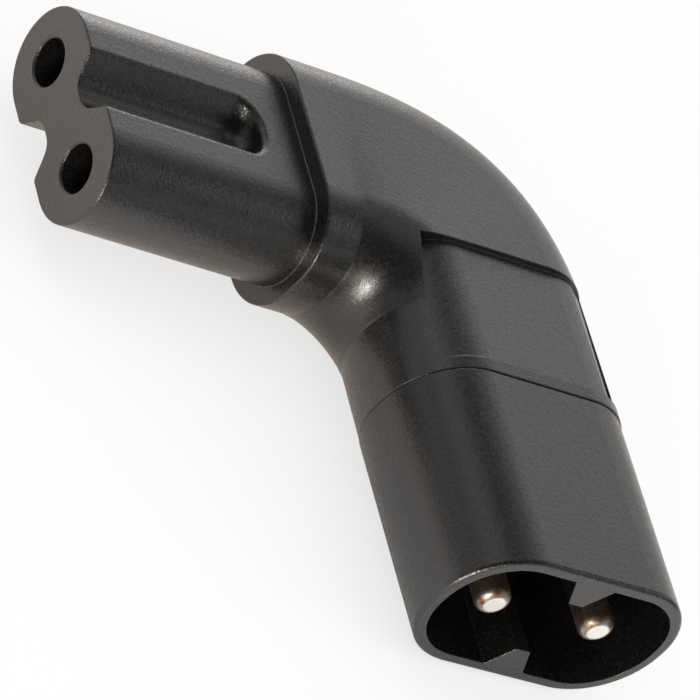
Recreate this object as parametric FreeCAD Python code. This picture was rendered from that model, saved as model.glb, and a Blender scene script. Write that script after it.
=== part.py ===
import FreeCAD, Part
import math
import os

# Right-angle figure eight power adapter, in millimetres.
# It is drawn with its two centre lines crossing at the origin, half way up the thickness.
# The inlet opens towards -Y and the socket nose points towards -X.
# Each piece is then moved so that the whole lies on z 0, centred over the origin.

# contact pairs
pin_pitch = 8.6          # centre distance of both pins and both socket holes
pin_radius = 1.18
pin_root_radius = 1.5    # the pins are thicker where the bridge holds them
tip_rounding = 0.6
pin_setback = 0.68       # pin tips stand this far behind the inlet's rim

# socket nose
nose_face_x = -30.0
nose_half_wide = 7.82
nose_half_thick = 3.88
nose_hole_radius = 1.575
nose_face_rounding = 0.12
nose_end_flat = 0.1      # flat left between the two roundings of each narrow side
hole_chamfer = 0.12
waist_half_top = 2.3     # waist groove, half width at the surface and at the floor
waist_half_floor = 1.0
waist_depth = 2.0
waist_end_x = -17.0
waist_floor_rounding = 1.3
waist_scoop = 1.5        # rounding where the groove runs out before the collar
waist_edge_rounding = 0.45

# elbow
collar_x = -13.95
fold_x = -11.65          # centre of the inner fillet, about which the sections are fanned
fold_y = -11.35
fold_radius = 2.6
outer_reach_x = 21.09    # from the fold centre to the outer side of each leg
outer_reach_y = 20.17
outer_fullness = 2.715   # 2 would be an ellipse, higher is squarer
collar_half_thick = 5.06
collar_side_flat = 0.61  # half height of the flat left on the narrow sides
swell_half_thick = 5.77  # the bend is thickest in the direction swell_angle from the fold centre
swell_side_flat = 0.12
swell_angle = math.radians(20)
join_side_flat = 0.3
join_proud = 0.05        # elbow stands this far outside the inlet at their joint
join_shy = 0.03          # and this far inside it on the inner side of the bend
edge_break = 0.12
seam_rounding = 0.06     # on both sides of the open joint between elbow and inlet
foot_straight = 1.2      # straight run above the joint, before the bend starts to swell
collar_blend = 1.2       # run after the bend in which it straightens out into the collar
foot_steps = 3           # sections lofted through on the way from the foot to the bend
fan_steps = 10           # and round the bend

# recessed label panel, which wraps round the outer side
panel_left_x = -7.2
panel_top_y = -6.26
panel_foot = 1.0         # full section left between the panel and the joint with the inlet
panel_inset_top = 0.3    # floor stands inside the inlet's line on the inner side of the bend
panel_inset_foot = 0.12
lip_x = 7.6              # the floor ends here at a low lip, along the outer side
lip_top = 0.08           # height of the lip at the top and at the foot of the panel
lip_foot = 0.2
lip_relief = 1.6         # width over which the floor falls away to the lip

# inlet shroud
join_y = -16.65
rim_y = -31.6
inlet_half_wide_join = 9.25
inlet_half_wide_rim = 9.44
inlet_half_thick = 5.35
rim_wall = 0.8
rim_rounding = 0.28
cavity_depth = 14.0
rib_half_base = 1.6
rib_half_tip = 0.55
rib_depth = 2.0
seam_gap = 0.08          # fine open joint between elbow and inlet

# tongue of the inlet and the pin bridge behind its floor
tongue_length = 4.0
tongue_wall = 0.8
tongue_inset = 1.25
bridge_boss_half_wide = 6.6
bridge_boss_half_thick = 2.2
bridge_proud = 1.0       # bridge stands this far out of the tongue
floor_thick = 1.2

# metal parts
contact_setback = 3.0    # contact mouth behind the nose face
contact_bore = 1.2
contact_clearance = 0.035
contact_slit = 0.5
contact_slit_length = 9.0
contact_bore_length = 14.5
flange_radius = 2.05
flange_thick = 0.8
barrel_radius = 1.3
contact_barrel_mouth_x = -7.2
pin_barrel_mouth_y = -7.3
core_radius = 0.6
core_in_barrel = 1.5
sleeve_radius = 1.2
inner_bend = 2.3
outer_bend = 8.0

# root of the nose and the plate behind it
root_end_x = -9.95
root_groove_far_x = -12.7
root_groove_near_x = -11.3
root_groove_depth = 0.8
cap_thick = 1.0
cap_inset = 0.4

lane = pin_pitch / 2
x_axis = FreeCAD.Vector(1, 0, 0)
y_axis = FreeCAD.Vector(0, 1, 0)
z_axis = FreeCAD.Vector(0, 0, 1)
cavity_floor_y = rim_y + cavity_depth
tongue_end_y = join_y + tongue_length
bridge_end_y = tongue_end_y + bridge_proud
pin_tip_y = rim_y + pin_setback
contact_mouth_x = nose_face_x + contact_setback
contact_radius = nose_hole_radius - contact_clearance


# A closed rounded section standing on the line through origin along a level direction.
# low and high are its two ends on that line, the thickness is symmetric about z 0.
def rounded_section(origin, along, low, high, half_thick, corner):
    def at(u, z):
        return origin + along * u + z_axis * z

    diagonal = corner * (1 - math.sqrt(0.5))
    flat = half_thick - corner
    corners = (
        (high - corner, half_thick, high - diagonal, half_thick - diagonal, high, flat),
        (high, -flat, high - diagonal, diagonal - half_thick, high - corner, -half_thick),
        (low + corner, -half_thick, low + diagonal, diagonal - half_thick, low, -flat),
        (low, flat, low + diagonal, half_thick - diagonal, low + corner, half_thick),
    )
    edges = []
    for index, bend in enumerate(corners):
        start, middle, end = at(*bend[0:2]), at(*bend[2:4]), at(*bend[4:6])
        edges.append(Part.Arc(start, middle, end).toShape())
        following = corners[(index + 1) % 4]
        edges.append(Part.makeLine(end, at(*following[0:2])))
    return Part.Wire(edges)


# A straight prism of the rounded section along X, with its long way along Y.
def bar_along_x(x_from, x_to, half_wide, half_thick, corner):
    origin = FreeCAD.Vector(x_from, 0, 0)
    wire = rounded_section(origin, y_axis, -half_wide, half_wide, half_thick, corner)
    return Part.Face(wire).extrude(x_axis * (x_to - x_from))


# A straight or tapered prism of the rounded section along Y, with its long way along X.
def bar_along_y(y_from, wide_from, thick_from, y_to, wide_to, thick_to):
    wires = []
    for y, wide, thick in ((y_from, wide_from, thick_from), (y_to, wide_to, thick_to)):
        origin = FreeCAD.Vector(0, y, 0)
        corner = min(wide - lane, thick - 0.1)
        wires.append(rounded_section(origin, x_axis, -wide, wide, thick, corner))
    return Part.makeLoft(wires, True, True)


def rod(radius, start, end):
    step = end - start
    return Part.makeCylinder(radius, step.Length, start, step)


def edges_where(shape, test):
    return [edge for edge in shape.Edges if test(edge.BoundBox)]


# Half width of the inlet's outer side, which keeps one taper from panel to rim.
def inlet_half_wide(y):
    slope = (inlet_half_wide_rim - inlet_half_wide_join) / (join_y - rim_y)
    return inlet_half_wide_join + slope * (join_y - y)


# Reach of the elbow's outer side from the fold centre, in a fanned direction.
def outer_reach(angle):
    x_part = (abs(math.cos(angle)) / outer_reach_x) ** outer_fullness
    y_part = (math.sin(angle) / outer_reach_y) ** outer_fullness
    return (x_part + y_part) ** (-1 / outer_fullness)


# Half thickness and side flat of a fanned section, which swells and then falls towards the collar.
def elbow_fullness(angle):
    share = (1 - math.cos(2 * (angle - swell_angle))) / (1 - math.cos(math.pi - 2 * swell_angle))
    half_thick = swell_half_thick + (collar_half_thick - swell_half_thick) * share
    side_flat = swell_side_flat + (collar_side_flat - swell_side_flat) * share
    return half_thick, side_flat


# Section of the straight foot, from the joint with the inlet (share 0) to the fold (share 1).
def foot_section(share):
    foot_y = join_y + seam_gap
    fold_thick, fold_flat = elbow_fullness(0.0)
    join_thick = inlet_half_thick + join_proud
    half_thick = join_thick + (fold_thick - join_thick) * share
    corner = half_thick - join_side_flat - (fold_flat - join_side_flat) * share
    join_low = join_shy - inlet_half_wide_join - fold_x
    low = join_low + (fold_radius - join_low) * share
    origin = FreeCAD.Vector(fold_x, foot_y + (fold_y - foot_y) * share, 0)
    return rounded_section(origin, x_axis, low, outer_reach_x, half_thick, corner)


# Section fanned about the fold centre, moved back by run along the socket leg.
def fan_section(angle, run):
    half_thick, side_flat = elbow_fullness(angle)
    along = FreeCAD.Vector(math.cos(angle), math.sin(angle), 0)
    origin = FreeCAD.Vector(fold_x - run, fold_y, 0)
    corner = half_thick - side_flat
    return rounded_section(origin, along, fold_radius, outer_reach(angle), half_thick, corner)


# Outer form of the elbow: a straight foot, a fan of sections and a short straight collar.
def elbow_form():
    foot_y = join_y + seam_gap
    foot_share = foot_straight / (fold_y - foot_y)
    foot = Part.makeLoft([foot_section(0.0), foot_section(foot_share)], True, True)
    foot = foot.makeFillet(seam_rounding, edges_where(foot, lambda box: box.YMax < foot_y + 0.01))

    wires = [foot_section(foot_share + (1 - foot_share) * step / foot_steps) for step in range(foot_steps)]
    for step in range(fan_steps + 1):
        wires.append(fan_section(math.pi / 2 * step / fan_steps, 0.0))
    wires.append(fan_section(math.pi / 2, collar_blend / 2))
    end = fan_section(math.pi / 2, collar_blend)
    bend = Part.makeLoft(wires + [end], True, False)

    collar = Part.Face(end).extrude(x_axis * (collar_x + collar_blend - fold_x))
    collar = collar.makeFillet(edge_break, edges_where(collar, lambda box: box.XMax < collar_x + 0.01))
    return bend.fuse(foot).fuse(collar)


# What is taken off for the label panel. Its floor carries the inlet's outer faces straight on,
# and falls away a little to a lip on the rounded outer side.
def panel_recess():
    foot_y = join_y + panel_foot
    far = inlet_half_wide_rim * 2
    corner = FreeCAD.Vector(panel_left_x, foot_y, -far / 2)
    window = Part.makeBox(far, panel_top_y - foot_y, far, corner)
    wires = []
    reliefs = []
    for y, inset, lip in ((foot_y, panel_inset_foot, lip_foot), (panel_top_y, panel_inset_top, lip_top)):
        wide = inlet_half_wide(y)
        radius = wide - lane
        origin = FreeCAD.Vector(0, y, 0)
        wires.append(rounded_section(origin, x_axis, inset - wide, wide, inlet_half_thick, radius))
        centre_z = inlet_half_thick - radius
        start_x = lip_x - lip_relief
        start_z = centre_z + math.sqrt(radius ** 2 - (start_x - lane) ** 2)
        lip_z = centre_z + math.sqrt(radius ** 2 - (lip_x - lane) ** 2)
        outline = [
            FreeCAD.Vector(start_x, y, start_z),
            FreeCAD.Vector(lip_x, y, lip_z - lip),
            FreeCAD.Vector(lip_x, y, far / 2),
            FreeCAD.Vector(start_x, y, far / 2),
        ]
        reliefs.append(Part.makePolygon(outline + outline[:1]))
    relief = Part.makeLoft(reliefs, True, True)
    floor = Part.makeLoft(wires, True, True).cut(relief)
    return window.cut(floor.cut(relief.mirror(FreeCAD.Vector(0, 0, 0), z_axis)))


# Socket nose with its root, before the grooves and holes.
def nose_form():
    corner = nose_half_thick - nose_end_flat / 2
    form = bar_along_x(nose_face_x, root_end_x, nose_half_wide, nose_half_thick, corner)
    ring = bar_along_x(root_groove_far_x, root_groove_near_x, nose_half_wide + 1, nose_half_thick + 1, corner)
    neck_wide = nose_half_wide - root_groove_depth
    neck_thick = nose_half_thick - root_groove_depth
    neck_corner = corner - root_groove_depth
    neck = bar_along_x(root_groove_far_x, root_groove_near_x, neck_wide, neck_thick, neck_corner)
    return form.cut(ring.cut(neck))


# One waist groove as a solid to take away, on the upper broad side.
def waist_groove():
    floor_z = nose_half_thick - waist_depth
    top_z = nose_half_thick + 1.0
    flare = (waist_half_top - waist_half_floor) / waist_depth * (top_z - floor_z)
    start_x = nose_face_x - 1.0
    outline = [
        FreeCAD.Vector(start_x, -waist_half_floor, floor_z),
        FreeCAD.Vector(start_x, waist_half_floor, floor_z),
        FreeCAD.Vector(start_x, waist_half_floor + flare, top_z),
        FreeCAD.Vector(start_x, -waist_half_floor - flare, top_z),
    ]
    face = Part.Face(Part.makePolygon(outline + outline[:1]))
    groove = face.extrude(x_axis * (waist_end_x - start_x))
    run_out = edges_where(groove, lambda box: box.XMin > waist_end_x - 0.01 and box.ZMin < top_z - 0.01)
    groove = groove.makeFillet(waist_scoop, run_out)
    along = edges_where(groove, lambda box: box.ZMax < floor_z + 0.01 and box.XLength > 5)
    return groove.makeFillet(waist_floor_rounding, along)


# True for an edge where a waist groove meets a broad side.
def is_groove_edge(box):
    on_broad_side = box.ZMin > nose_half_thick - 0.01 or box.ZMax < 0.01 - nose_half_thick
    beside_groove = box.YMin > -waist_half_top - 0.01 and box.YMax < waist_half_top + 0.01
    behind_face = box.XMax > nose_face_x + 0.01 and box.XMax < waist_end_x + 0.01
    return on_broad_side and beside_groove and behind_face


def socket_nose():
    nose = nose_form()
    groove = waist_groove()
    nose = nose.cut(groove)
    nose = nose.cut(groove.mirror(FreeCAD.Vector(0, 0, 0), z_axis))
    nose = nose.makeFillet(waist_edge_rounding, edges_where(nose, is_groove_edge))
    on_face = edges_where(nose, lambda box: box.XMax < nose_face_x + 0.01)
    nose = nose.makeFillet(nose_face_rounding, on_face)
    for side in (-lane, lane):
        face = FreeCAD.Vector(nose_face_x, side, 0)
        nose = nose.cut(rod(nose_hole_radius, face, FreeCAD.Vector(root_end_x, side, 0)))
        mouth = Part.makeCone(nose_hole_radius + hole_chamfer, nose_hole_radius, hole_chamfer, face, x_axis)
        nose = nose.cut(mouth)
        seat = FreeCAD.Vector(root_end_x - flange_thick, side, 0)
        nose = nose.cut(rod(flange_radius, seat, FreeCAD.Vector(root_end_x, side, 0)))
    return nose


# Contact of the socket: slit tube in front, flange seated in the root, barrel for the wire behind.
def contact(side, core):
    mouth = FreeCAD.Vector(contact_mouth_x, side, 0)
    flange_from = FreeCAD.Vector(root_end_x - flange_thick, side, 0)
    flange_to = FreeCAD.Vector(root_end_x, side, 0)
    barrel_end = FreeCAD.Vector(contact_barrel_mouth_x, side, 0)
    body = rod(contact_radius, mouth, flange_to)
    body = body.fuse(rod(flange_radius, flange_from, flange_to))
    body = body.fuse(rod(barrel_radius, flange_to, barrel_end))
    body = body.cut(rod(contact_bore, mouth, mouth + x_axis * contact_bore_length))
    slit_corner = FreeCAD.Vector(contact_mouth_x, side - contact_slit / 2, -nose_half_thick)
    body = body.cut(Part.makeBox(contact_slit_length, contact_slit, 2 * nose_half_thick, slit_corner))
    return body.cut(core)


# Plate that closes the nose behind the contact flanges.
def contact_cap(contacts):
    half_wide = nose_half_wide - cap_inset
    half_thick = nose_half_thick - cap_inset
    corner = half_thick - nose_end_flat / 2
    cap = bar_along_x(root_end_x, root_end_x + cap_thick, half_wide, half_thick, corner)
    for piece in contacts:
        cap = cap.cut(piece)
    return cap


def pin(side, core):
    tip = FreeCAD.Vector(side, pin_tip_y, 0)
    end = FreeCAD.Vector(side, bridge_end_y, 0)
    root = FreeCAD.Vector(side, cavity_floor_y, 0)
    body = rod(pin_radius, tip, root)
    body = body.makeFillet(tip_rounding, edges_where(body, lambda box: box.YMax < pin_tip_y + 0.01))
    middle = (cavity_floor_y + floor_thick + bridge_end_y) / 2
    flange_from = FreeCAD.Vector(side, middle - flange_thick / 2, 0)
    body = body.fuse(rod(pin_root_radius, root, end))
    body = body.fuse(rod(flange_radius, flange_from, flange_from + y_axis * flange_thick))
    body = body.fuse(rod(barrel_radius, end, FreeCAD.Vector(side, pin_barrel_mouth_y, 0)))
    return body.cut(core)


# Insulating bridge that holds both pins: a boss through the inlet's floor and a block behind it.
def bridge_form():
    boss_corner = min(bridge_boss_half_wide - lane, bridge_boss_half_thick - 0.1)
    shoulder_y = cavity_floor_y + floor_thick
    origin = FreeCAD.Vector(0, cavity_floor_y, 0)
    wire = rounded_section(origin, x_axis, -bridge_boss_half_wide, bridge_boss_half_wide,
                           bridge_boss_half_thick, boss_corner)
    boss = Part.Face(wire).extrude(y_axis * (shoulder_y - cavity_floor_y))
    half_wide = inlet_half_wide_join - tongue_inset - tongue_wall
    half_thick = inlet_half_thick - tongue_inset - tongue_wall
    block = bar_along_y(shoulder_y, half_wide, half_thick, bridge_end_y, half_wide, half_thick)
    return boss.fuse(block).removeSplitter()


# Outer form of the inlet behind the joint, which the elbow is moulded round.
def tongue_form():
    half_wide = inlet_half_wide_join - tongue_inset
    half_thick = inlet_half_thick - tongue_inset
    return bar_along_y(join_y, half_wide, half_thick, tongue_end_y, half_wide, half_thick)


def inlet_cavity():
    half_wide = inlet_half_wide_rim - rim_wall
    half_thick = inlet_half_thick - rim_wall
    return bar_along_y(cavity_floor_y, half_wide, half_thick, rim_y, half_wide, half_thick)


# Rib on the upper broad wall of the cavity, running from the rim to the floor.
def cavity_rib():
    root_z = inlet_half_thick - rim_wall + 0.3
    tip_z = inlet_half_thick - rim_wall - rib_depth
    flare = (rib_half_base - rib_half_tip) / rib_depth * (root_z - tip_z)
    outline = [
        FreeCAD.Vector(-rib_half_tip, rim_y, tip_z),
        FreeCAD.Vector(rib_half_tip, rim_y, tip_z),
        FreeCAD.Vector(rib_half_tip + flare, rim_y, root_z),
        FreeCAD.Vector(-rib_half_tip - flare, rim_y, root_z),
    ]
    face = Part.Face(Part.makePolygon(outline + outline[:1]))
    return face.extrude(y_axis * (cavity_depth + 0.3))


def inlet_shroud():
    shell = bar_along_y(rim_y, inlet_half_wide_rim, inlet_half_thick, join_y, inlet_half_wide_join, inlet_half_thick)
    shell = shell.makeFillet(rim_rounding, edges_where(shell, lambda box: box.YMax < rim_y + 0.01))
    shell = shell.makeFillet(seam_rounding, edges_where(shell, lambda box: box.YMin > join_y - 0.01))
    rib = cavity_rib()
    cavity = inlet_cavity().cut(rib)
    cavity = cavity.cut(rib.mirror(FreeCAD.Vector(0, 0, 0), z_axis))
    shell = shell.cut(cavity)
    shell = shell.fuse(tongue_form()).cut(bridge_form())
    return shell.removeSplitter()


# One round wire, from inside the contact's barrel round the bend into the pin's barrel.
def bent_round(radius, side, bend, reach):
    start = FreeCAD.Vector(contact_barrel_mouth_x - reach, side, 0)
    turn_in = FreeCAD.Vector(side - bend, side, 0)
    turn_out = FreeCAD.Vector(side, side - bend, 0)
    end = FreeCAD.Vector(side, pin_barrel_mouth_y - reach, 0)
    disc = Part.Face(Part.Wire([Part.makeCircle(radius, turn_in, x_axis)]))
    corner = disc.revolve(FreeCAD.Vector(side - bend, side - bend, 0), z_axis, -90)
    return rod(radius, start, turn_in).fuse(corner).fuse(rod(radius, turn_out, end))


def main():
    os.makedirs("parts", exist_ok=True)
    cores = {}
    sleeves = {}
    for name, side, bend in (("inner", -lane, inner_bend), ("outer", lane, outer_bend)):
        cores[name] = bent_round(core_radius, side, bend, core_in_barrel)
        sleeves[name] = bent_round(sleeve_radius, side, bend, 0.0)
    contacts = {"inner": contact(-lane, cores["inner"]), "outer": contact(lane, cores["outer"])}
    pins = {"inner": pin(-lane, cores["inner"]), "outer": pin(lane, cores["outer"])}
    cap = contact_cap(contacts.values())
    bridge = bridge_form()

    body = elbow_form().cut(panel_recess())
    moulded_in = [nose_form(), cap, bridge, tongue_form()]
    for group in (cores, sleeves, contacts, pins):
        moulded_in.extend(group.values())
    for piece in moulded_in:
        body = body.cut(piece)

    pieces = {
        "elbow_body": body,
        "socket_nose": socket_nose(),
        "contact_cap": cap,
        "inlet_shroud": inlet_shroud(),
        "pin_bridge": bridge.cut(pins["inner"]).cut(pins["outer"]),
    }
    for name in ("inner", "outer"):
        pieces["socket_contact_" + name] = contacts[name]
        pieces["inlet_pin_" + name] = pins[name]
        pieces["wire_core_" + name] = cores[name]
        pieces["wire_sleeve_" + name] = sleeves[name].cut(cores[name])
    middle_x = (nose_face_x + fold_x + outer_reach_x) / 2
    middle_y = (rim_y + fold_y + outer_reach_y) / 2
    to_rest = FreeCAD.Vector(-middle_x, -middle_y, swell_half_thick)
    for name, shape in pieces.items():
        shape = shape.copy()
        shape.translate(to_rest)
        shape.exportStep("parts/" + name + ".step")


main()
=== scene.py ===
import math
import bmesh
import bpy
from mathutils import Matrix, Vector


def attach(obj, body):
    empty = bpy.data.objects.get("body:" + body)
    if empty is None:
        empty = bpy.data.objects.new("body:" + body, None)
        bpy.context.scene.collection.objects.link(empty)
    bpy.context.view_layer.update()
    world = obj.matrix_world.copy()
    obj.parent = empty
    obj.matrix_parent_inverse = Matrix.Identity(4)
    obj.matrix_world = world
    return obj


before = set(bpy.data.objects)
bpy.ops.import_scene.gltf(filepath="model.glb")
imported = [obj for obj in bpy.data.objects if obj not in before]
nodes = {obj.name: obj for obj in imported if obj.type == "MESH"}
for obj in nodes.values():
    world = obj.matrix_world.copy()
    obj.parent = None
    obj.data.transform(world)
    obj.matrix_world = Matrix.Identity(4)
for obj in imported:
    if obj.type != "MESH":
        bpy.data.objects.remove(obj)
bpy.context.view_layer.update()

mm = 0.001
noiseRange = (0.3, 0.7)      # where nearly all of a noise's values lie
patchRange = (0.35, 0.65)    # a little tighter, for patches with clearer borders
print("frame loaded:", len(nodes), "pieces")


# Another node's output is linked into the socket, and a plain value is set on it.
def feed(tree, socket, value):
    if isinstance(value, bpy.types.NodeSocket):
        tree.links.new(value, socket)
    else:
        socket.default_value = value


# A node of one kind, with its options set and its sockets fed by name.
def addNode(tree, kind, sockets=None, **options):
    node = tree.nodes.new(kind)
    for option, value in options.items():
        setattr(node, option, value)
    for name, value in (sockets or {}).items():
        feed(tree, node.inputs[name], value)
    return node


def newMaterial(name):
    material = bpy.data.materials.new(name)
    material.use_nodes = True
    tree = material.node_tree
    tree.nodes.clear()
    output = addNode(tree, "ShaderNodeOutputMaterial")
    shader = addNode(tree, "ShaderNodeBsdfPrincipled")
    tree.links.new(shader.outputs["BSDF"], output.inputs["Surface"])
    return material, tree, shader


# Object coordinates in millimetres, stretched where a finish has a direction.
def inMillimetres(tree, stretch=(1, 1, 1)):
    place = addNode(tree, "ShaderNodeTexCoord").outputs["Object"]
    scale = [share / mm for share in stretch]
    return addNode(tree, "ShaderNodeMapping", {"Vector": place, "Scale": scale}).outputs["Vector"]


# Noise with features of about one size, in the unit of the coordinates.
def noise(tree, place, size, detail=2.0, roughness=0.5):
    sockets = {"Vector": place, "Scale": 1 / size, "Detail": detail, "Roughness": roughness}
    return addNode(tree, "ShaderNodeTexNoise", sockets).outputs["Fac"]


def remap(tree, value, fromRange, toRange=(0.0, 1.0)):
    sockets = {"Value": value}
    sockets["From Min"], sockets["From Max"] = fromRange
    sockets["To Min"], sockets["To Max"] = toRange
    return addNode(tree, "ShaderNodeMapRange", sockets).outputs["Result"]


def combine(tree, operation, first, second):
    node = addNode(tree, "ShaderNodeMath", operation=operation)
    feed(tree, node.inputs[0], first)
    feed(tree, node.inputs[1], second)
    return node.outputs["Value"]


def dotProduct(tree, first, second):
    node = addNode(tree, "ShaderNodeVectorMath", operation="DOT_PRODUCT")
    feed(tree, node.inputs[0], first)
    feed(tree, node.inputs[1], second)
    return node.outputs["Value"]


def mixValue(tree, factor, first, second):
    sockets = {"Factor": factor, "A": first, "B": second}
    return addNode(tree, "ShaderNodeMix", sockets).outputs["Result"]


# The node's colour sockets share their names with others, so they go by number.
def mixColour(tree, factor, first, second):
    node = addNode(tree, "ShaderNodeMix", data_type="RGBA")
    for number, value in ((0, factor), (6, first), (7, second)):
        feed(tree, node.inputs[number], value)
    return node.outputs[2]


# Bump whose full height is a depth in millimetres, laid over an earlier normal if there is one.
def bump(tree, height, depth, normal=None):
    sockets = {"Height": height, "Strength": 1.0, "Distance": depth * mm}
    if normal is not None:
        sockets["Normal"] = normal
    return addNode(tree, "ShaderNodeBump", sockets).outputs["Normal"]


# How much an edge is rubbed: 0 on open faces, rising where the softened normal leaves the true one.
def rubbedEdges(tree, place, soft, look):
    trueNormal = addNode(tree, "ShaderNodeNewGeometry").outputs["Normal"]
    turned = remap(tree, dotProduct(tree, soft, trueNormal), look["edgeTurn"])
    patches = noise(tree, place, look["wearSize"])
    patchy = remap(tree, patches, patchRange, (look["wearLeast"], 1.0))
    lightened = combine(tree, "MULTIPLY", turned, patchy)
    return combine(tree, "MULTIPLY", lightened, look["edgeWear"])


# Moulded plastic with the fine spark-eroded grain of its tool, whose grain tops carry a painted
# sparkle.
def mouldedPlastic(name, look):
    material, tree, shader = newMaterial(name)
    place = inMillimetres(tree)
    grain = noise(tree, place, look["grainSize"], detail=1.0, roughness=0.6)
    coarse = noise(tree, place, look["grainSize"] * look["coarseTimes"], detail=1.0)
    clouds = noise(tree, place, look["cloudSize"], detail=3.0, roughness=0.55)
    sockets = {"Radius": look["edgeRadius"] * mm}
    soft = addNode(tree, "ShaderNodeBevel", sockets, samples=look["edgeSamples"]).outputs["Normal"]

    colour = mixColour(tree, remap(tree, clouds, noiseRange), look["deep"], look["faded"])
    # Painted sparkle: the grain's tops are lightened in colour to stand in for glints on its facets.
    paintedSparkleMask = remap(tree, grain, look["grainTops"], (0.0, look["paintedSparkleShare"]))
    colour = mixColour(tree, paintedSparkleMask, colour, look["lightened"])
    rub = rubbedEdges(tree, place, soft, look)
    colour = mixColour(tree, rub, colour, look["lightened"])
    tree.links.new(colour, shader.inputs["Base Color"])

    rough = remap(tree, coarse, noiseRange, look["roughness"])
    worn = combine(tree, "MULTIPLY", rub, look["edgePolish"])
    tree.links.new(combine(tree, "SUBTRACT", rough, worn), shader.inputs["Roughness"])
    shader.inputs["Specular IOR Level"].default_value = look["gloss"]
    shader.inputs["IOR"].default_value = look["refraction"]

    height = combine(tree, "ADD", grain, combine(tree, "MULTIPLY", coarse, look["coarseShare"]))
    grained = bump(tree, height, look["grainHeight"], soft)
    wavy = bump(tree, clouds, look["waveHeight"], grained)
    tree.links.new(wavy, shader.inputs["Normal"])
    return material


# Metal drawn along one axis, with tarnish in random patches. Its colour is also painted by facing: near
# white towards its ends, a painted highlight, and dark brown on its sides, a painted shade.
def drawnMetal(name, look):
    material, tree, shader = newMaterial(name)
    along = inMillimetres(tree, look["stretch"])
    lines = noise(tree, along, look["lineSize"], detail=2.0, roughness=0.6)
    patches = noise(tree, inMillimetres(tree), look["tarnishSize"], detail=3.0, roughness=0.6)
    dulled = remap(tree, patches, patchRange, (look["tarnishLeast"], 1.0))
    normal = addNode(tree, "ShaderNodeTexCoord").outputs["Normal"]
    # Painted light by facing: 0 where the normal faces the ends, for a painted highlight, and 1 on the
    # sides, for painted shade.
    side = remap(tree, dotProduct(tree, normal, look["endsFace"]), look["bright"], (1.0, 0.0))
    tarnishAndSideShade = combine(tree, "MULTIPLY", dulled, side)
    colour = mixColour(tree, tarnishAndSideShade, look["endHighlight"], look["tarnishAndShade"])
    tree.links.new(colour, shader.inputs["Base Color"])

    rough = remap(tree, lines, noiseRange, look["roughness"])
    duller = combine(tree, "MULTIPLY", tarnishAndSideShade, look["tarnishRough"])
    tree.links.new(combine(tree, "ADD", rough, duller), shader.inputs["Roughness"])
    shader.inputs["Metallic"].default_value = 1.0
    tree.links.new(bump(tree, lines, look["lineHeight"]), shader.inputs["Normal"])
    return material


def dress(names, material):
    for name in names:
        slots = nodes[name].data.materials
        slots.clear()
        slots.append(material)


# Sizes, heights and radii in the looks are in millimetres.
elbowLook = {
    "deep": (0.0024, 0.0023, 0.0022, 1),     # near black of the moulding
    "faded": (0.0040, 0.0038, 0.0036, 1),    # slightly lighter clouds
    "lightened": (0.070, 0.068, 0.065, 1),      # lighter colour: worn edges, and the painted sparkle on grain tops
    "cloudSize": 3.2,
    "waveHeight": 0.006,                     # how far the lighter clouds stand up
    "grainSize": 0.10,
    "grainHeight": 0.020,
    "coarseTimes": 2.6,                      # the grain's coarse part is this many times its size
    "coarseShare": 0.8,                      # and adds this share to its height
    "grainTops": (0.55, 0.75),               # grain heights at which the painted sparkle begins and is full
    "paintedSparkleShare": 0.22,                         # how light a full top is painted, as painted sparkle
    "roughness": (0.22, 0.32),
    "gloss": 1.0,
    "refraction": 1.5,
    "edgeRadius": 0.10,
    "edgeSamples": 4,
    "edgeTurn": (0.98, 0.8),                 # cosines at which an edge begins and is full
    "edgeWear": 0.45,
    "edgePolish": 0.08,                      # how much smoother a rubbed edge is
    "wearSize": 0.9,                         # of the patches in which edges are more or less rubbed
    "wearLeast": 0.3,
}
noseLook = dict(elbowLook, grainSize=0.095, grainHeight=0.023, cloudSize=2.6)
shroudLook = dict(elbowLook, grainSize=0.105, cloudSize=4.2, gloss=0.85, edgeWear=0.8)
insulationLook = dict(elbowLook, grainSize=0.2, grainHeight=0.008, cloudSize=1.5, paintedSparkleShare=0.12)
dress(["elbow_body"], mouldedPlastic("elbowPlastic", elbowLook))
dress(["socket_nose"], mouldedPlastic("nosePlastic", noseLook))
dress(["inlet_shroud", "pin_bridge", "contact_cap"], mouldedPlastic("shroudPlastic", shroudLook))
sleeves = ["wire_sleeve_inner", "wire_sleeve_outer"]
dress(sleeves, mouldedPlastic("sleeveInsulation", insulationLook))
print("plastics dressed")

pinLook = {
    "endHighlight": (0.96, 0.94, 0.90, 1),          # painted highlight: near white where the plating faces the tip
    "tarnishAndShade": (0.15, 0.065, 0.022, 1),    # warm brown: tarnish in patches, and painted shade on the sides
    "tarnishSize": 0.8,
    "tarnishLeast": 0.55,                    # of the sides, in their cleanest patches
    "tarnishRough": 0.30,                    # what full tarnish and painted side shade add to the roughness
    "endsFace": (0, -1, 0),                  # the tips point this way
    "bright": (0.94, 0.99),                  # cosines from there at which the painted highlight begins and is full
    "stretch": (1, 0.12, 1),                 # drawn along the pins
    "lineSize": 0.09,
    "lineHeight": 0.0015,
    "roughness": (0.16, 0.26),
}
contactLook = dict(pinLook, endHighlight=(0.78, 0.58, 0.32, 1), endsFace=(-1, 0, 0),
                   stretch=(0.12, 1, 1), roughness=(0.25, 0.4))
coreLook = dict(contactLook, endHighlight=(0.85, 0.45, 0.28, 1), tarnishAndShade=(0.35, 0.16, 0.09, 1))
dress(["inlet_pin_inner", "inlet_pin_outer"], drawnMetal("pinPlating", pinLook))
dress(["socket_contact_inner", "socket_contact_outer"], drawnMetal("contactBrass", contactLook))
dress(["wire_core_inner", "wire_core_outer"], drawnMetal("coreCopper", coreLook))
print("metals dressed")

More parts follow.
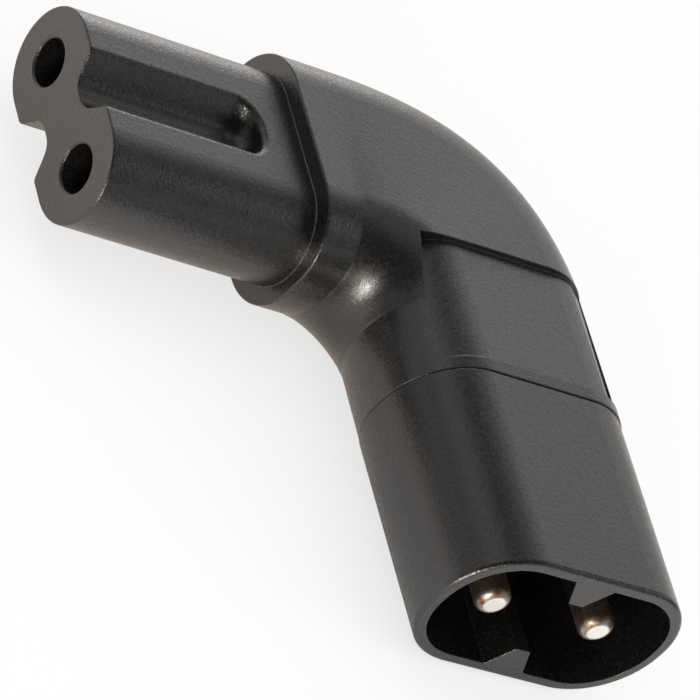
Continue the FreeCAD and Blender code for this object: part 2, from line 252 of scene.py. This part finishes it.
flashLook = {
    "centre": (-3.67, 11.39, 5.77),          # where the nose enters the collar, in millimetres
    "halfWide": 7.82,
    "halfThick": 3.88,
    "corner": 3.83,
    "cornerSteps": 40,
    "radius": 0.04,                          # of the fine bead of plastic round the joint
    "sides": 8,
    "unevenness": 0.35,                      # share of its radius by which the bead varies
    "longWave": (5.3, 4.1),                  # how fast it varies along Y and Z
    "longShift": 0.7,
    "shortWave": (13.0, 7.0),
    "shortShare": 0.5,                       # of the short wave beside the long one
    "weld": 0.001,                           # points nearer to each other than this become one
}


# Points and outward directions round the nose's section, which stands across X.
def roundTheNose(look):
    found = []
    steps = look["cornerSteps"]
    for quarter in range(4):
        for step in range(steps + 1):
            turn = math.radians(90) * (quarter + step / steps)
            outward = Vector((0, math.cos(turn), math.sin(turn)))
            middleY = (look["halfWide"] - look["corner"]) * (1 if quarter in (0, 3) else -1)
            middleZ = (look["halfThick"] - look["corner"]) * (1 if quarter in (0, 1) else -1)
            found.append((Vector((0, middleY, middleZ)) + outward * look["corner"], outward))
    return found


# The bead's radius at one place. It swells and thins by a long and a short wave.
def beadRadius(look, place):
    longY, longZ = look["longWave"]
    shortY, shortZ = look["shortWave"]
    wave = math.sin(place.y * longY) * math.sin(place.z * longZ + look["longShift"])
    wave += look["shortShare"] * math.sin(place.y * shortY + place.z * shortZ)
    return look["radius"] * (1 + look["unevenness"] * wave / (1 + look["shortShare"]))


# The witness line of the moulding: a fine uneven bead where the elbow was moulded round the nose. Its
# light colour is a painted glint.
def mouldingFlash(look, material):
    mesh = bpy.data.meshes.new("collar_flash")
    shape = bmesh.new()
    rings = []
    for place, outward in roundTheNose(look):
        radius = beadRadius(look, place)
        ring = []
        for side in range(look["sides"]):
            turn = 2 * math.pi * side / look["sides"]
            alongX = Vector((-radius * math.sin(turn), 0, 0))
            point = place + outward * radius * math.cos(turn) + alongX
            ring.append(shape.verts.new((point + Vector(look["centre"])) * mm))
        rings.append(ring)
    for index, ring in enumerate(rings):
        after = rings[(index + 1) % len(rings)]
        for side in range(look["sides"]):
            other = (side + 1) % look["sides"]
            shape.faces.new((ring[side], ring[other], after[other], after[side]))
    bmesh.ops.remove_doubles(shape, verts=shape.verts, dist=look["weld"] * mm)
    bmesh.ops.recalc_face_normals(shape, faces=shape.faces)
    for face in shape.faces:
        face.smooth = True
    shape.to_mesh(mesh)
    shape.free()
    mesh.materials.append(material)
    flash = bpy.data.objects.new("collar_flash", mesh)
    bpy.context.scene.collection.objects.link(flash)
    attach(flash, "root")


# The bead's plastic is far lighter than the body's: a painted glint along the joint.
flashGlintLook = dict(elbowLook, deep=(0.05, 0.048, 0.046, 1), faded=(0.08, 0.078, 0.075, 1),
                  roughness=(0.25, 0.35), grainHeight=0.004, paintedSparkleShare=0.2)
mouldingFlash(flashLook, mouldedPlastic("flashGlintPlastic", flashGlintLook))
print("moulding flash laid round the nose")


# The way out from the object at an azimuth from -Y, as seen from above, and an elevation.
def wayOut(azimuth, elevation=0):
    a = math.radians(azimuth)
    e = math.radians(elevation)
    return Vector((math.sin(a) * math.cos(e), -math.cos(a) * math.cos(e), math.sin(e)))


cameraLook = {
    "aim": (0.00034, -0.00088, 0.00523),     # the place that it looks at, in metres
    "distance": 0.335,
    "azimuth": -46.54,
    "elevation": 33.17,
    "roll": 46.54,                           # about its own line of sight, in degrees
    "lens": 275.45,
    "sensor": 36.0,
    "clip": (0.01, 50),                      # the nearest and the farthest that it sees
}


def placeCamera(look):
    back = wayOut(look["azimuth"], look["elevation"])
    level = Vector((0, 0, 1)).cross(back).normalized()
    turn = Matrix.Rotation(math.radians(look["roll"]), 3, back)
    right = turn @ level
    up = back.cross(right)
    lens = bpy.data.cameras.new("camera")
    lens.lens = look["lens"]
    lens.sensor_width = look["sensor"]
    lens.clip_start, lens.clip_end = look["clip"]
    camera = bpy.data.objects.new("camera", lens)
    place = Vector(look["aim"]) + back * look["distance"]
    axes = Matrix((right, up, back)).transposed().to_4x4()
    camera.matrix_world = Matrix.Translation(place) @ axes
    bpy.context.scene.collection.objects.link(camera)
    bpy.context.scene.camera = camera


placeCamera(cameraLook)

# Lengths here are in metres.
floorLook = {
    "width": 4.0,
    "paper": (0.95, 0.95, 0.95, 1),
    "fibreSize": 0.0006,
    "fibreShade": 0.985,                     # how light a fibre is beside the paper
    "roughness": 0.9,
    "gloss": 0.1,
    "glow": 0.72,                            # share of plain white that the camera sees in it
    "mirrored": (0.10, 0.55),                # share that glossy faces see in its near and far part; the darker near part is painted shade
    "between": (-0.008, 0.004),              # where the one turns into the other, along Y
    "mirroredTint": (1.0, 0.86, 0.76, 1),    # warmth of the white that they see
}


# White paper. It takes shadows, and looks nearly as white to the camera as the backdrop. Glossy faces
# see it glow less on its near side, a painted shade.
def whitePaper(look):
    material, tree, shader = newMaterial("whitePaper")
    place = addNode(tree, "ShaderNodeTexCoord").outputs["Object"]
    fibre = noise(tree, place, look["fibreSize"], detail=3.0, roughness=0.6)
    darker = [share * look["fibreShade"] for share in look["paper"][:3]] + [1]
    colour = mixColour(tree, remap(tree, fibre, noiseRange), look["paper"], darker)
    tree.links.new(colour, shader.inputs["Base Color"])
    shader.inputs["Roughness"].default_value = look["roughness"]
    shader.inputs["Specular IOR Level"].default_value = look["gloss"]

    path = addNode(tree, "ShaderNodeLightPath").outputs
    seen = combine(tree, "MAXIMUM", path["Is Camera Ray"], path["Is Transmission Ray"])
    along = addNode(tree, "ShaderNodeSeparateXYZ", {"Vector": place}).outputs["Y"]
    # Painted shade for reflections: the glow that glossy faces see fades towards the near side, under
    # and beside the object.
    paintedFloorShade = remap(tree, along, look["between"], look["mirrored"])
    mirrored = combine(tree, "MULTIPLY", path["Is Glossy Ray"], paintedFloorShade)
    share = combine(tree, "MAXIMUM", combine(tree, "MULTIPLY", seen, look["glow"]), mirrored)
    tint = mixColour(tree, path["Is Glossy Ray"], (1, 1, 1, 1), look["mirroredTint"])
    glow = addNode(tree, "ShaderNodeEmission", {"Color": tint, "Strength": 1.0})
    mix = addNode(tree, "ShaderNodeMixShader", {"Fac": share})
    tree.links.new(shader.outputs["BSDF"], mix.inputs[1])
    tree.links.new(glow.outputs["Emission"], mix.inputs[2])
    tree.links.new(mix.outputs["Shader"], tree.get_output_node("ALL").inputs["Surface"])
    return material


def layPaper(look):
    half = look["width"] / 2
    mesh = bpy.data.meshes.new("paper")
    corners = [(-half, -half, 0), (half, -half, 0), (half, half, 0), (-half, half, 0)]
    mesh.from_pydata(corners, [], [(0, 1, 2, 3)])
    paper = bpy.data.objects.new("paper", mesh)
    bpy.context.scene.collection.objects.link(paper)
    mesh.materials.append(whitePaper(look))


layPaper(floorLook)

# What a lamp has where its own row says nothing else. Lengths are in metres, power in watts.
neutral = (1.0, 1.0, 1.0)
warm = (1.0, 0.93, 0.85)
lampLook = {"distance": 0.6, "colour": neutral}
lamps = {
    "backRight": {"azimuth": 95, "elevation": 14, "width": 0.45, "height": 0.24, "power": 0.08},
    "backLeft": {"azimuth": 160, "elevation": 10, "width": 0.30, "height": 0.20, "power": 0.5},
    "back": {"azimuth": 135, "elevation": 33, "width": 0.35, "height": 0.35, "power": 0.15},
    "top": {"azimuth": 135, "elevation": 74, "width": 0.35, "height": 0.35, "power": 0.15},
    "right": {"azimuth": 75, "elevation": 35, "width": 0.30, "height": 0.30, "power": 0.3},
    "left": {"azimuth": -135, "elevation": 50, "width": 0.30, "height": 0.30, "power": 0.16},
    "side": {"azimuth": -92, "elevation": 22, "width": 0.36, "height": 0.30, "power": 0.12},
    "lowLeft": {"azimuth": -128, "elevation": 14, "width": 0.22, "height": 0.28, "power": 0.06},
    "frontRight": {"azimuth": 38, "elevation": 20, "width": 0.25, "height": 0.22, "power": 0.11},
    "front": {"azimuth": 0, "elevation": 10, "width": 0.12, "height": 0.12, "power": 0.32,
              "colour": warm},
    "frontSpark": {"azimuth": -33, "elevation": 6, "width": 0.17, "height": 0.12, "power": 2.0,
                   "colour": warm, "distance": 0.5},
}


def hangLamps(look, rows):
    for name, row in rows.items():
        box = dict(look, **row)
        out = wayOut(box["azimuth"], box["elevation"])
        light = bpy.data.lights.new(name, "AREA")
        light.shape = "RECTANGLE"
        light.size = box["width"]
        light.size_y = box["height"]
        light.energy = box["power"]
        light.color = box["colour"]
        lamp = bpy.data.objects.new(name, light)
        lamp.location = out * box["distance"]
        lamp.rotation_mode = "QUATERNION"
        lamp.rotation_quaternion = out.to_track_quat("Z", "Y")
        bpy.context.scene.collection.objects.link(lamp)


worldLook = {
    "room": 0.8,                             # even light from all round
    "white": 0.78,                           # what glossy faces mirror from behind the object
    "dark": 0.03,                            # and from in front of it and above
    "azimuth": 165,                          # middle of the white side
    "side": (0.20, 0.85),                    # cosines from it at which the white begins and is full
    "ceiling": (0.55, 0.85),                 # heights at which it starts to fade and is gone
}


# White all round for the camera. Glossy faces see it behind the object, and a dim room elsewhere.
def whiteWorld(look):
    world = bpy.data.worlds.new("studio")
    world.use_nodes = True
    tree = world.node_tree
    tree.nodes.clear()
    output = addNode(tree, "ShaderNodeOutputWorld")
    direction = addNode(tree, "ShaderNodeTexCoord").outputs["Generated"]
    across = dotProduct(tree, direction, wayOut(look["azimuth"]))
    height = addNode(tree, "ShaderNodeSeparateXYZ", {"Vector": direction}).outputs["Z"]
    side = remap(tree, across, look["side"])
    below = remap(tree, height, look["ceiling"], (1.0, 0.0))
    share = combine(tree, "MULTIPLY", side, below)
    mirrored = remap(tree, share, (0.0, 1.0), (look["dark"], look["white"]))

    path = addNode(tree, "ShaderNodeLightPath").outputs
    seen = combine(tree, "MAXIMUM", path["Is Camera Ray"], path["Is Transmission Ray"])
    glossy = mixValue(tree, path["Is Glossy Ray"], look["room"], mirrored)
    strength = mixValue(tree, seen, glossy, 1.0)
    sockets = {"Color": (1, 1, 1, 1), "Strength": strength}
    light = addNode(tree, "ShaderNodeBackground", sockets)
    tree.links.new(light.outputs["Background"], output.inputs["Surface"])
    bpy.context.scene.world = world


hangLamps(lampLook, lamps)
whiteWorld(worldLook)
bpy.context.scene.view_settings.view_transform = "Standard"
print("camera, paper and lamps placed")
